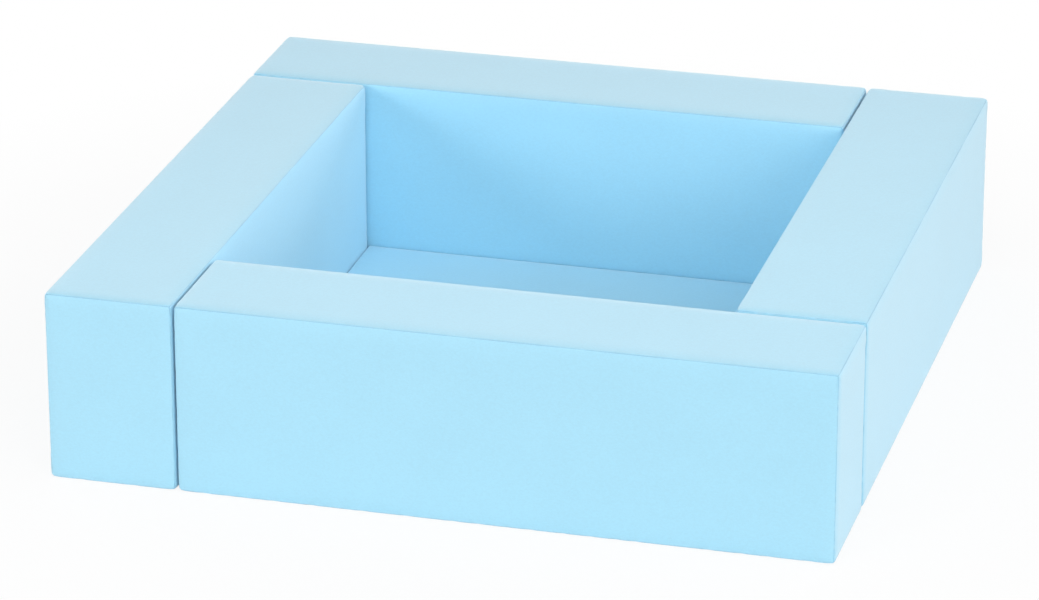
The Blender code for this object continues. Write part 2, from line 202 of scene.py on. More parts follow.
def make_foam():
    material, tree, shader = start_material("open_cell_foam", Roughness=0.95)
    place = object_coordinates(tree)
    pores = add_node(tree, "ShaderNodeTexVoronoi", {"Scale": PORES_PER_METRE})
    cloudy = add_node(tree, "ShaderNodeTexNoise", {"Scale": CLOUDS_PER_METRE, "Detail": 3})
    for texture in (pores, cloudy):
        tree.links.new(place, texture.inputs["Vector"])
    tone = add_node(tree, "ShaderNodeMath", operation="MULTIPLY")
    tree.links.new(pores.outputs["Distance"], tone.inputs[0])
    tree.links.new(cloudy.outputs["Fac"], tone.inputs[1])
    paint_between(tree, shader, FOAM_SHADOW, FOAM_CREAM, tone.outputs[0])
    raise_bump(tree, shader, pores.outputs["Distance"], PORE_DEPTH)
    return material


def score(piece, middle, half, on_face):
    """Cuts the outline of a rectangle round a middle point into the faces that pass a test."""
    for axis in (0, 1):
        for side in (-1, 1):
            pick(piece, "faces", on_face)
            point = middle.copy()
            point[axis] += side * half[axis]
            bpy.ops.mesh.bisect(plane_co=point, plane_no=(1 - axis, axis, 0))


def cut_foam(name, node, middle, edge, groove_half, groove_high):
    """A foam slab the size of a CAD core, grooved underneath along its zip."""
    low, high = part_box(node)
    core = start_block(name, low, high)
    bpy.ops.mesh.select_all(action="SELECT")
    bpy.ops.mesh.bevel(offset=edge, segments=3, affect="EDGES")
    score(core, middle, groove_half, lambda face: face.normal.z < ON_PLANE - 1)
    pick(core, "faces", lambda face: within(face, -1, low.z + ON_PLANE, *groove_half, middle))
    bpy.ops.mesh.extrude_region_move(TRANSFORM_OT_translate={"value": (0, 0, groove_high - low.z)})
    bpy.ops.object.mode_set(mode="OBJECT")
    bpy.ops.object.shade_smooth_by_angle(angle=FOAM_SMOOTH_BELOW)
    return core


def draw_in_corners(piece, low, high, reach, pull):
    """Draws every corner in a little, where three seams meet and their turned-in edges are thickest."""
    for vert in piece.data.vertices:
        sides = [1 if vert.co[axis] - low[axis] < high[axis] - vert.co[axis] else -1 for axis in range(3)]
        corner = Vector([low[axis] if side > 0 else high[axis] for axis, side in enumerate(sides)])
        near = 1 - (vert.co - corner).length / reach
        if near > 0:
            vert.co += Vector(sides).normalized() * pull * near ** 2


foam = make_foam()
front_core = cut_foam(
    "core", "front_wall_foam", WALL_MIDDLE, WALL_FOAM_EDGE, WALL_GROOVE_HALF, WALL_GROOVE_HIGH)
draw_in_corners(front_core, *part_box("front_wall_foam"), CORNER_REACH, CORNER_PULL)
front_core.data.materials.append(foam)
for wall, core in copy_round(front_core, "_foam_core"):
    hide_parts(wall + "_foam")
    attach(core, wall)

# Wall covers. Each is a tight bag of pale blue leatherette, six panels sewn inside out edge to edge, so a
# narrow valley runs along the middle of every rounded edge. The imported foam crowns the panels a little.

WALL_LENGTH = 1.000
WALL_THICK = 0.198
WALL_HEIGHT = 0.298
WALL_EDGE = 0.0048
WALL_COVER_THICK = 0.0011
PANEL_STEP = 0.009
EDGE_STEPS = 8
SEAM_HALF_WIDTH = 0.0006
SEAM_DEPTH = 0.0011
# How near a seam's middle a vertex must lie to take the painted seam shade.
SEAM_SHADE_TOLERANCE = 0.0002
WALL_FULLNESS = 0.0007
SEAT_LENGTH = 0.198
SHARP_ANGLE = math.radians(45)
MOSTLY_ALONG = 0.9
COVER_SMOOTH_BELOW = math.radians(50)

STUFFING_MOMENTS = 20
STUFFING_PRESSURE = 4
STUFFING_STEPS = 4
PANEL_MASS = 0.05
PANEL_GROWTH = 0.001

ZIP_RECESS_HALF = (0.425, 0.018)
ZIP_RECESS_DEPTH = 0.0055
ZIP_SLOT_HALF = (0.414, 0.007)
RECESS_LIP = 0.0012

LEATHERETTE_BLUE = (0.407, 0.758, 0.937, 1)
# Painted shade: the seam valleys take this deeper blue, which darkens the creases.
SEAM_SHADE_BLUE = (0.22, 0.52, 0.73, 1)
GRAIN_CONTRAST = (0.92, 1.055)
GRAIN_PER_METRE = 235
GRAIN_STRETCH = 1.6
PEBBLES_PER_CREASE = 4.2
CREASE_WEIGHT = 1.4
MOTTLE_PER_METRE = 7
MOTTLE_WEIGHT = 0.35
GRAIN_DEPTH = 0.00016
GRAIN_STRENGTH = 0.6
LEATHERETTE_ROUGHNESS = (0.58, 0.70)


def start_group(name, number, results):
    """A node group from a vector and a number to some results, and the nodes at its two ends."""
    group = bpy.data.node_groups.new(name, "ShaderNodeTree")
    group.interface.new_socket("Vector", in_out="INPUT", socket_type="NodeSocketVector")
    group.interface.new_socket(number, in_out="INPUT", socket_type="NodeSocketFloat")
    for result in results:
        group.interface.new_socket(result, in_out="OUTPUT", socket_type="NodeSocketFloat")
    return group, add_node(group, "NodeGroupInput"), add_node(group, "NodeGroupOutput")


def grain_group():
    """Leather grain: fine creases stretched along the roll, with a pebbled ground and a slow mottle."""
    group, inside, result = start_group("leather_grain", "Fineness", ("Height", "Tone"))
    creases = add_node(group, "ShaderNodeTexNoise", {"Detail": 5, "Roughness": 0.6, "Distortion": 0.4})
    pebbles = add_node(group, "ShaderNodeTexVoronoi", feature="SMOOTH_F1")
    finer = add_node(group, "ShaderNodeMath", {1: PEBBLES_PER_CREASE}, operation="MULTIPLY")
    mottle = add_node(group, "ShaderNodeTexNoise", {"Scale": MOTTLE_PER_METRE, "Detail": 2})
    group.links.new(inside.outputs["Fineness"], finer.inputs[0])
    group.links.new(inside.outputs["Fineness"], creases.inputs["Scale"])
    group.links.new(finer.outputs[0], pebbles.inputs["Scale"])
    for texture in (creases, pebbles, mottle):
        group.links.new(inside.outputs["Vector"], texture.inputs["Vector"])
    height = add_node(group, "ShaderNodeMath", {1: CREASE_WEIGHT}, operation="MULTIPLY_ADD")
    group.links.new(creases.outputs["Fac"], height.inputs[0])
    group.links.new(pebbles.outputs["Distance"], height.inputs[2])
    tone = add_node(group, "ShaderNodeMath", {1: MOTTLE_WEIGHT}, operation="MULTIPLY_ADD")
    group.links.new(mottle.outputs["Fac"], tone.inputs[0])
    group.links.new(creases.outputs["Fac"], tone.inputs[2])
    group.links.new(height.outputs[0], result.inputs["Height"])
    group.links.new(tone.outputs[0], result.inputs["Tone"])
    return group


def vary_roughness(tree, shader, factor, smoothest, roughest):
    rough = add_node(tree, "ShaderNodeMapRange", {"To Min": smoothest, "To Max": roughest})
    tree.links.new(factor, rough.inputs["Value"])
    tree.links.new(rough.outputs["Result"], shader.inputs["Roughness"])


def make_leatherette(grain):
    material, tree, shader = start_material(
        "pale_blue_leatherette", IOR=1.55, Sheen_Weight=0.65, Sheen_Roughness=0.5)
    place = object_coordinates(tree, scale=(1, 1, GRAIN_STRETCH))
    surface = add_node(tree, "ShaderNodeGroup", node_tree=grain)
    surface.inputs["Fineness"].default_value = GRAIN_PER_METRE
    tree.links.new(place, surface.inputs["Vector"])
    deeper, paler = ([share * channel for channel in LEATHERETTE_BLUE[:3]] + [1] for share in GRAIN_CONTRAST)
    ground = blend_colours(tree, deeper, paler, surface.outputs["Tone"])
    # Painted shade along every seam valley: the seam attribute blends in a deeper blue.
    seam = add_node(tree, "ShaderNodeAttribute", attribute_name="seam")
    whole = add_node(tree, "ShaderNodeMix", data_type="RGBA")
    whole.inputs["B"].default_value = SEAM_SHADE_BLUE
    tree.links.new(ground, whole.inputs["A"])
    tree.links.new(seam.outputs["Fac"], whole.inputs["Factor"])
    tree.links.new(whole.outputs["Result"], shader.inputs["Base Color"])
    vary_roughness(tree, shader, surface.outputs["Tone"], *LEATHERETTE_ROUGHNESS)
    raise_bump(tree, shader, surface.outputs["Height"], GRAIN_DEPTH, GRAIN_STRENGTH)
    return material


def depths(point, low, high):
    """How deep a point lies under the block's nearest side along each axis, shallowest first."""
    return sorted(min(point[axis] - low[axis], high[axis] - point[axis]) for axis in range(3))


def on_seam(point, low, high, radius, tolerance=ON_PLANE):
    """A seam runs where a point of a rounded edge is equally deep under both its faces."""
    shallow, next_shallow, _ = depths(point, low, high)
    return next_shallow < radius and next_shallow - shallow < tolerance


def round_block(name, low, high, radius):
    """A block cut into even panels, with every edge rounded and a loop along the middle of each."""
    block = start_block(name, low, high)
    for axis in range(3):
        def runs_along(edge, axis=axis):
            return abs((edge.verts[0].co - edge.verts[1].co).normalized()[axis]) > MOSTLY_ALONG
        pick(block, "edges", runs_along)
        cuts = int((high[axis] - low[axis]) / PANEL_STEP) - 1
        if cuts > 0:
            bpy.ops.mesh.subdivide(number_cuts=cuts)
    bpy.ops.mesh.select_all(action="DESELECT")
    bpy.ops.mesh.edges_select_sharp(sharpness=SHARP_ANGLE)
    bpy.ops.mesh.bevel(offset=radius, segments=EDGE_STEPS, affect="EDGES")
    bpy.ops.object.mode_set(mode="OBJECT")
    return block


def stuff(block, low, high, radius, fullness, pressed):
    """Blows the panels out against their seams, as packed foam does, by no more than their fullness.

    What the pressed test names rests on something, and stays flat.
    """
    before = [vert.co.copy() for vert in block.data.vertices]
    held = [n for n, place in enumerate(before) if on_seam(place, low, high, radius) or pressed(place)]
    group = block.vertex_groups.new(name="held")
    group.add(held, 1, "REPLACE")
    activate(block)
    cloth = block.modifiers.new("stuffing", "CLOTH")
    cloth.settings.quality = STUFFING_STEPS
    cloth.settings.mass = PANEL_MASS
    cloth.settings.use_pressure = True
    cloth.settings.uniform_pressure_force = STUFFING_PRESSURE
    cloth.settings.vertex_group_mass = "held"
    cloth.settings.shrink_min = -PANEL_GROWTH
    cloth.settings.effector_weights.gravity = 0
    cloth.collision_settings.use_collision = False
    cloth.point_cache.frame_start = 1
    cloth.point_cache.frame_end = STUFFING_MOMENTS
    for moment in range(1, STUFFING_MOMENTS + 1):
        bpy.context.scene.frame_set(moment)
    bpy.ops.object.modifier_apply(modifier=cloth.name)
    for vert, place in zip(block.data.vertices, before):
        move = vert.co - place
        most = 0 if pressed(place) else fullness
        if move.length > most:
            move *= most / move.length
        vert.co = place + move


def sink_seams(block, low, high, radius, half_width, depth):
    """Creases a valley along the middle of every rounded edge."""
    bpy.ops.object.mode_set(mode="EDIT")
    pick(block, "edges", lambda edge: all(on_seam(v.co, low, high, radius) for v in edge.verts))
    bpy.ops.mesh.bevel(offset=half_width, segments=2, affect="EDGES")
    pick(block, "verts", lambda vert: on_seam(vert.co, low, high, radius))
    bpy.ops.transform.shrink_fatten(value=-depth)
    bpy.ops.object.mode_set(mode="OBJECT")


def open_zip_slot(block, middle, recess_half, slot_half, depth, lip):
    """Sinks the zip's recess into the underside and cuts its slot through the recess's roof."""
    bpy.ops.object.mode_set(mode="EDIT")
    for half in (recess_half, slot_half):
        score(block, middle, half, lambda face: all(vert.co.z < ON_PLANE for vert in face.verts))
    pick(block, "faces", lambda face: within(face, -1, ON_PLANE, *recess_half, middle))
    bpy.ops.mesh.extrude_region_move(TRANSFORM_OT_translate={"value": (0, 0, depth)})
    pick(block, "faces", lambda face: within(face, depth / 2, depth + ON_PLANE, *slot_half, middle))
    bpy.ops.mesh.delete(type="FACE")

    def on_rim(edge):
        if max(vert.co.z for vert in edge.verts) > ON_PLANE:
            return False
        spread = [edge.verts[0].co - middle, edge.verts[1].co - middle]
        along_end = all(abs(abs(place.x) - recess_half[0]) < ON_PLANE for place in spread)
        along_side = all(abs(abs(place.y) - recess_half[1]) < ON_PLANE for place in spread)
        inside = all(
            abs(place.x) < recess_half[0] + ON_PLANE and abs(place.y) < recess_half[1] + ON_PLANE
            for place in spread)
        return inside and (along_end or along_side)

    pick(block, "edges", on_rim)
    bpy.ops.mesh.bevel(offset=lip, segments=2, affect="EDGES")
    bpy.ops.object.mode_set(mode="OBJECT")


def finish_cover(block, low, high, radius, thickness):
    """Marks the seam valleys for the material's painted shade and gives the leatherette its thickness,
    inwards.
    """
    seam = block.data.attributes.new("seam", "FLOAT", "POINT")
    for vert in block.data.vertices:
        seam.data[vert.index].value = float(on_seam(vert.co, low, high, radius, SEAM_SHADE_TOLERANCE))
    activate(block)
    skin = block.modifiers.new("leatherette", "SOLIDIFY")
    skin.thickness = thickness
    skin.offset = -1
    bpy.ops.object.modifier_apply(modifier=skin.name)
    bpy.ops.object.shade_smooth_by_angle(angle=COVER_SMOOTH_BELOW)


grain = grain_group()
leatherette = make_leatherette(grain)
wall_half = Vector((WALL_LENGTH / 2, WALL_THICK / 2, 0))
wall_low = WALL_MIDDLE - wall_half
wall_high = WALL_MIDDLE + wall_half + Vector((0, 0, WALL_HEIGHT))


def wall_pressed(place):
    """The underside, the butt end and the seat that the next block's butt end meets stay flat."""
    on_ground = place.z < ON_PLANE
    on_butt_end = place.x < wall_low.x + ON_PLANE
    on_seat = place.y > wall_high.y - ON_PLANE and place.x > wall_high.x - SEAT_LENGTH
    return on_ground or on_butt_end or on_seat


front_cover = round_block("cover", wall_low, wall_high, WALL_EDGE)
stuff(front_cover, wall_low, wall_high, WALL_EDGE, WALL_FULLNESS, wall_pressed)
draw_in_corners(front_cover, wall_low, wall_high, CORNER_REACH, CORNER_PULL)
sink_seams(front_cover, wall_low, wall_high, WALL_EDGE, SEAM_HALF_WIDTH, SEAM_DEPTH)
open_zip_slot(front_cover, WALL_MIDDLE, ZIP_RECESS_HALF, ZIP_SLOT_HALF, ZIP_RECESS_DEPTH, RECESS_LIP)
finish_cover(front_cover, wall_low, wall_high, WALL_EDGE, WALL_COVER_THICK)
front_cover.data.materials.append(leatherette)
for wall, cover in copy_round(front_cover, "_sewn_cover"):
    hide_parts(wall + "_cover")
    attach(cover, wall)

# Floor mat. A thin slab of the same foam in a sewn cover of the same leatherette, made as the walls are,
# which lies loose on the ground and fills the opening.

MAT_MIDDLE = Vector((0, 0, 0))
MAT_SIDE = 0.8042
MAT_THICK = 0.012
MAT_EDGE = 0.0035
MAT_COVER_THICK = 0.0010
MAT_SEAM_HALF_WIDTH = 0.0003
MAT_SEAM_DEPTH = 0.0006
MAT_FULLNESS = 0.0010
MAT_ZIP_SHARE = 0.6
MAT_FOAM_EDGE = 0.0042
MAT_GROOVE_HALF = (0.3284, 0.0121)
MAT_GROOVE_HIGH = 0.00594
MAT_RECESS_HALF = (0.3271, 0.0108)
MAT_RECESS_DEPTH = 0.00188
MAT_SLOT_HALF = (0.3205, 0.0042)

mat_core = cut_foam(
    "floor_mat_foam_core", "floor_mat_foam", MAT_MIDDLE, MAT_FOAM_EDGE, MAT_GROOVE_HALF, MAT_GROOVE_HIGH)
mat_core.data.materials.append(foam)
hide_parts("floor_mat_foam")
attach(mat_core, "floor_mat")

mat_low = Vector((-MAT_SIDE / 2, -MAT_SIDE / 2, 0))
mat_high = Vector((MAT_SIDE / 2, MAT_SIDE / 2, MAT_THICK))


def mat_pressed(place):
    """Only the top is free: the underside lies on the ground and the sides stand against the walls."""
    return place.z < mat_high.z - MAT_EDGE


mat_cover = round_block("floor_mat_sewn_cover", mat_low, mat_high, MAT_EDGE)
stuff(mat_cover, mat_low, mat_high, MAT_EDGE, MAT_FULLNESS, mat_pressed)
sink_seams(mat_cover, mat_low, mat_high, MAT_EDGE, MAT_SEAM_HALF_WIDTH, MAT_SEAM_DEPTH)
open_zip_slot(
    mat_cover, MAT_MIDDLE, MAT_RECESS_HALF, MAT_SLOT_HALF, MAT_RECESS_DEPTH, MAT_ZIP_SHARE * RECESS_LIP)
finish_cover(mat_cover, mat_low, mat_high, MAT_EDGE, MAT_COVER_THICK)
mat_cover.data.materials.append(leatherette)
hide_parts("floor_mat_cover")
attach(mat_cover, "floor_mat")

# Zips. Each cover closes along its underside with a coil zip in a sunk channel: two woven polyester tapes
# topstitched inside the slot, each with a nylon coil along its edge, run together by a nickel-plated slider.
# A flat pull swings on the slider's staple and lies inside the channel.

TAPE_THICK = 0.0008
TAPE_EDGE = 0.00015
COIL_WIDTH = 0.0024
COIL_END_SPARE = 0.012
COIL_PITCH = 0.0020
COIL_GAP = 0.0006
COIL_EDGE = 0.0004
TAPE_SMOOTH_BELOW = math.radians(30)
TAPE_BLUE = (0.38, 0.70, 0.88, 1)
TAPE_SHADOW = (0.24, 0.52, 0.74, 1)
TAPE_THREADS = 420
TAPE_WEAVE_DEPTH = 0.0002
COIL_BLUE = (0.50, 0.78, 0.92, 1)
COIL_ROUGHNESS = 0.45

THREAD_RADIUS = 0.00028
STITCH_LENGTH = 0.0029
STITCH_PITCH = 0.0036
WALL_STITCH_INSET = 0.0028
THREAD_BLUE = (0.26, 0.58, 0.84, 1)
THREAD_ROUGHNESS = 0.6
FIBRES_PER_METRE = 2600
FIBRE_SHADE = 0.86
FIBRE_DEPTH = 0.00005

METAL_EDGE = 0.00018
METAL_SHARP_ANGLE = math.radians(35)
MERGE_WITHIN = 0.000002
FLAT_WITHIN = math.radians(1)
NICKEL = (0.70, 0.69, 0.66, 1)
NICKEL_DULL = (0.52, 0.50, 0.47, 1)
NICKEL_ROUGHNESS = (0.22, 0.42)
TUMBLE_PER_METRE = 1500
TUMBLE_DEPTH = 0.00004
PATCHES_PER_METRE = 220


def weave_group():
    """Plain weave on a piece's own flat place: threads that pass over and under each other in turn."""
    group, inside, result = start_group("plain_weave", "Threads", ("Height",))
    over = []
    for direction in ("X", "Y"):
        wave = add_node(
            group, "ShaderNodeTexWave", {"Distortion": 0.6, "Detail": 1}, bands_direction=direction)
        group.links.new(inside.outputs["Vector"], wave.inputs["Vector"])
        group.links.new(inside.outputs["Threads"], wave.inputs["Scale"])
        over.append(wave.outputs["Fac"])
    crossing = add_node(group, "ShaderNodeMath", operation="MULTIPLY")
    group.links.new(over[0], crossing.inputs[0])
    group.links.new(over[1], crossing.inputs[1])
    group.links.new(crossing.outputs[0], result.inputs["Height"])
    return group


def make_woven(name, weave, threads, low, high, depth):
    """A woven textile in two tones, read from the piece's own flat place."""
    material, tree, shader = start_material(name, Roughness=0.8, Sheen_Weight=0.25)
    flat = add_node(tree, "ShaderNodeAttribute", attribute_name="flat_place")
    cloth = add_node(tree, "ShaderNodeGroup", node_tree=weave)
    cloth.inputs["Threads"].default_value = threads
    tree.links.new(flat.outputs["Vector"], cloth.inputs["Vector"])
    paint_between(tree, shader, low, high, cloth.outputs["Height"])
    raise_bump(tree, shader, cloth.outputs["Height"], depth)
    return material


def make_nylon(name, colour, roughness):
    """Smooth nylon, as in a zip's coil or sewing thread, with a faint twist of fibres in it."""
    material, tree, shader = start_material(name, Roughness=roughness, Sheen_Weight=0.1)
    fibres = add_node(tree, "ShaderNodeTexNoise", {"Scale": FIBRES_PER_METRE, "Detail": 2})
    tree.links.new(object_coordinates(tree), fibres.inputs["Vector"])
    darker = [channel * FIBRE_SHADE for channel in colour[:3]] + [1]
    paint_between(tree, shader, darker, colour, fibres.outputs["Fac"])
    raise_bump(tree, shader, fibres.outputs["Fac"], FIBRE_DEPTH)
    return material


def make_nickel():
    """Nickel plate over a die casting: a fine tumbled grain, duller in random patches."""
    material, tree, shader = start_material("nickel_plate", Metallic=1)
    place = object_coordinates(tree)
    tumble = add_node(tree, "ShaderNodeTexNoise", {"Scale": TUMBLE_PER_METRE, "Detail": 4})
    patches = add_node(tree, "ShaderNodeTexNoise", {"Scale": PATCHES_PER_METRE, "Detail": 2})
    for texture in (tumble, patches):
        tree.links.new(place, texture.inputs["Vector"])
    paint_between(tree, shader, NICKEL_DULL, NICKEL, patches.outputs["Fac"])
    vary_roughness(tree, shader, tumble.outputs["Fac"], *NICKEL_ROUGHNESS)
    raise_bump(tree, shader, tumble.outputs["Fac"], TUMBLE_DEPTH)
    return material


def keep_flat_place(piece):
    """Keeps where each vertex lies now, so that a weave stays with the piece wherever it is sewn on."""
    flat = piece.data.attributes.new("flat_place", "FLOAT_VECTOR", "POINT")
    for vert in piece.data.vertices:
        flat.data[vert.index].vector = vert.co


def repeat(piece, count, step):
    """Repeats a piece in a straight row."""
    activate(piece)
    row = piece.modifiers.new("row", "ARRAY")
    row.use_relative_offset = False
    row.use_constant_offset = True
    row.constant_offset_displace = step
    row.count = count
    bpy.ops.object.modifier_apply(modifier=row.name)


def join(name, pieces):
    """Joins pieces into the first, which gets a name of its own."""
    deselect_all()
    for piece in pieces:
        piece.select_set(True)
    bpy.context.view_layer.objects.active = pieces[0]
    bpy.ops.object.join()
    pieces[0].name = pieces[0].data.name = name
    return pieces[0]


def make_tape(name, node, share, tape_cloth, nylon):
    """Half of a zip on the +Y side of its slot: a woven tape with a coil of teeth under its inner edge."""
    low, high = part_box(node)
    tape = start_block(name, (low.x, low.y, high.z - share * TAPE_THICK), high)
    bpy.ops.mesh.select_all(action="SELECT")
    bpy.ops.mesh.bevel(offset=share * TAPE_EDGE, segments=2, affect="EDGES")
    bpy.ops.object.mode_set(mode="OBJECT")
    tape.data.materials.append(tape_cloth)

    pitch = share * COIL_PITCH
    first = low.x + share * COIL_END_SPARE
    count = int((high.x - low.x - 2 * share * COIL_END_SPARE) / pitch)
    coil_low = (first, low.y, low.z)
    coil_high = (first + pitch - share * COIL_GAP, low.y + share * COIL_WIDTH, high.z - share * TAPE_THICK)
    turn = start_block("coil_turn", coil_low, coil_high)
    bpy.ops.mesh.select_all(action="SELECT")
    bpy.ops.mesh.bevel(offset=share * COIL_EDGE, segments=1, affect="EDGES")
    bpy.ops.object.mode_set(mode="OBJECT")
    turn.data.materials.append(nylon)
    repeat(turn, count, (pitch, 0, 0))
    tape = join(name, [tape, turn])
    keep_flat_place(tape)
    bpy.ops.object.shade_smooth_by_angle(angle=TAPE_SMOOTH_BELOW)
    return tape


def turn_over(tape, name, middle):
    """A tape's copy for the far side of its slot, half a turn round the zip's middle."""
    far_tape = duplicate(tape)
    far_tape.name = far_tape.data.name = name
    bpy.ops.transform.rotate(value=math.pi, orient_axis="Z", center_override=middle)
    settle(far_tape)
    return far_tape


def sew_row(start, end):
    """A straight row of stitches, each half sunk in what it holds."""
    run = end - start
    count = max(1, round(run.length / STITCH_PITCH))
    deselect_all()
    bpy.ops.mesh.primitive_uv_sphere_add(
        segments=6, ring_count=4, radius=THREAD_RADIUS, location=start + run / (2 * count),
        rotation=run.to_track_quat("Z", "Y").to_euler())
    stitch = bpy.context.object
    stitch.scale.z = STITCH_LENGTH / (2 * THREAD_RADIUS)
    settle(stitch)
    bpy.ops.object.shade_smooth()
    repeat(stitch, count, run / count)
    return stitch


def sew_rectangle(name, middle, half, thread):
    """Four rows of stitches round a rectangle with this middle, half length and half width."""
    signs = ((1, 1), (-1, 1), (-1, -1), (1, -1))
    corners = [middle + Vector((a * half[0], b * half[1], 0)) for a, b in signs]
    rows = [sew_row(corner, corners[n - 1]) for n, corner in enumerate(corners)]
    seam = join(name, rows)
    seam.data.materials.append(thread)
    return seam


def sew_slot(name, middle, slot_half, depth, inset, thread):
    """Topstitching round a zip's slot, on the roof of its channel."""
    half = [side + inset for side in slot_half]
    return sew_rectangle(name, middle + Vector((0, 0, depth)), half, thread)


def plated_copy(name, node, edge, metal):
    """A zip fitting as cast: the CAD node's shape with its edges broken, as tumbling leaves them."""
    fitting = bpy.data.objects.new(name, frame["nodes"][node].data.copy())
    bpy.context.scene.collection.objects.link(fitting)
    fitting.data.name = name
    fitting.data.materials.clear()
    fitting.data.materials.append(metal)
    activate(fitting)
    bpy.ops.object.mode_set(mode="EDIT")
    bpy.ops.mesh.select_all(action="SELECT")
    bpy.ops.mesh.remove_doubles(threshold=MERGE_WITHIN)
    bpy.ops.mesh.dissolve_limited(angle_limit=FLAT_WITHIN)
    bpy.ops.object.mode_set(mode="OBJECT")
    broken = fitting.modifiers.new("broken_edges", "BEVEL")
    broken.width = edge
    broken.segments = 2
    broken.angle_limit = METAL_SHARP_ANGLE
    bpy.ops.object.modifier_apply(modifier=broken.name)
    bpy.ops.object.shade_smooth_by_angle(angle=METAL_SHARP_ANGLE)
    return fitting


def hang_zip(prefix, tapes, stitching, share, metal):
    """Lets a zip's pieces stand for its CAD nodes and ride with them."""
    for side, tape in tapes:
        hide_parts(prefix + "_zip_tape_" + side)
        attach(tape, prefix)
    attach(stitching, prefix)
    for part in ("slider", "pull"):
        node = prefix + "_zip_" + part
        fitting = plated_copy(prefix + "_plated_" + part, node, share * METAL_EDGE, metal)
        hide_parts(node)
        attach(fitting, node)


weave = weave_group()
tape_cloth = make_woven("woven_tape", weave, TAPE_THREADS, TAPE_SHADOW, TAPE_BLUE, TAPE_WEAVE_DEPTH)
nylon = make_nylon("nylon_coil", COIL_BLUE, COIL_ROUGHNESS)
thread = make_nylon("sewing_thread", THREAD_BLUE, THREAD_ROUGHNESS)
nickel = make_nickel()

front_tape = make_tape("tape", "front_wall_zip_tape_inner", 1, tape_cloth, nylon)
far_tape = turn_over(front_tape, "far_tape", WALL_MIDDLE)
slot_stitches = sew_slot(
    "slot_stitches", WALL_MIDDLE, ZIP_SLOT_HALF, ZIP_RECESS_DEPTH, WALL_STITCH_INSET, thread)
wall_inner = copy_round(front_tape, "_woven_tape_inner")
wall_outer = copy_round(far_tape, "_woven_tape_outer")
wall_stitches = copy_round(slot_stitches, "_zip_topstitching")
for (wall, inner), (_, outer), (_, stitching) in zip(wall_inner, wall_outer, wall_stitches):
    hang_zip(wall, (("inner", inner), ("outer", outer)), stitching, 1, nickel)

mat_tape = make_tape(
    "floor_mat_woven_tape_inner", "floor_mat_zip_tape_inner", MAT_ZIP_SHARE, tape_cloth, nylon)
mat_far_tape = turn_over(mat_tape, "floor_mat_woven_tape_outer", MAT_MIDDLE)
mat_stitching = sew_slot(
    "floor_mat_zip_topstitching", MAT_MIDDLE, MAT_SLOT_HALF, MAT_RECESS_DEPTH,
    MAT_ZIP_SHARE * WALL_STITCH_INSET, thread)
hang_zip("floor_mat", (("inner", mat_tape), ("outer", mat_far_tape)), mat_stitching, MAT_ZIP_SHARE, nickel)

# Hook-and-loop strips. The blocks hold together where a butt end meets an inner face: two strips of white
# nylon hooks sewn upright on every butt end grip two strips of loops on the next block, and their
# thickness is the narrow gap that shows at the joint.

STRIP_SIZE = (0.040, 0.180)
STRIP_CORNER = 0.003
STRIP_BASE = 0.0006
STRIP_BORDER = 0.0026
STRIP_STITCH_INSET = 0.0013
STRIP_SMOOTH_BELOW = math.radians(40)
STRIP_THREADS = 520
STRIP_WEAVE_DEPTH = 0.00015
STRIP_WHITE = (0.93, 0.94, 0.95, 1)
STRIP_SHADOW = (0.76, 0.79, 0.82, 1)
PILE_EDGE = 0.0004

HOOK_THICK = 0.0016
HOOKS_PER_METRE = 620
HOOK_STRAY = 0.25
HOOK_TIP_RADII = (0.1, 0.55)
HOOK_DEPTH = 0.0006
LOOP_THICK = 0.0015
LOOPS_PER_METRE = 1100
LOOP_TANGLE = 2.5
LOOP_DEPTH = 0.0007


def make_hooks():
    """Rows of stiff nylon hooks: bright tips over a shaded ground."""
    material, tree, shader = start_material("nylon_hooks", Roughness=0.5)
    flat = add_node(tree, "ShaderNodeAttribute", attribute_name="flat_place")
    rows = add_node(tree, "ShaderNodeTexVoronoi", {"Scale": HOOKS_PER_METRE, "Randomness": HOOK_STRAY})
    bright, shaded = HOOK_TIP_RADII
    tips = add_node(tree, "ShaderNodeMapRange", {"From Min": shaded, "From Max": bright})
    tree.links.new(flat.outputs["Vector"], rows.inputs["Vector"])
    tree.links.new(rows.outputs["Distance"], tips.inputs["Value"])
    paint_between(tree, shader, STRIP_SHADOW, STRIP_WHITE, tips.outputs["Result"])
    raise_bump(tree, shader, tips.outputs["Result"], HOOK_DEPTH)
    return material


def make_loops():
    """A brushed pile of fine nylon loops."""
    material, tree, shader = start_material("nylon_loops", Roughness=0.9, Sheen_Weight=0.5)
    flat = add_node(tree, "ShaderNodeAttribute", attribute_name="flat_place")
    pile = add_node(
        tree, "ShaderNodeTexNoise", {"Scale": LOOPS_PER_METRE, "Detail": 4, "Distortion": LOOP_TANGLE})
    tree.links.new(flat.outputs["Vector"], pile.inputs["Vector"])
    paint_between(tree, shader, STRIP_SHADOW, STRIP_WHITE, pile.outputs["Fac"])
    raise_bump(tree, shader, pile.outputs["Fac"], LOOP_DEPTH)
    return material


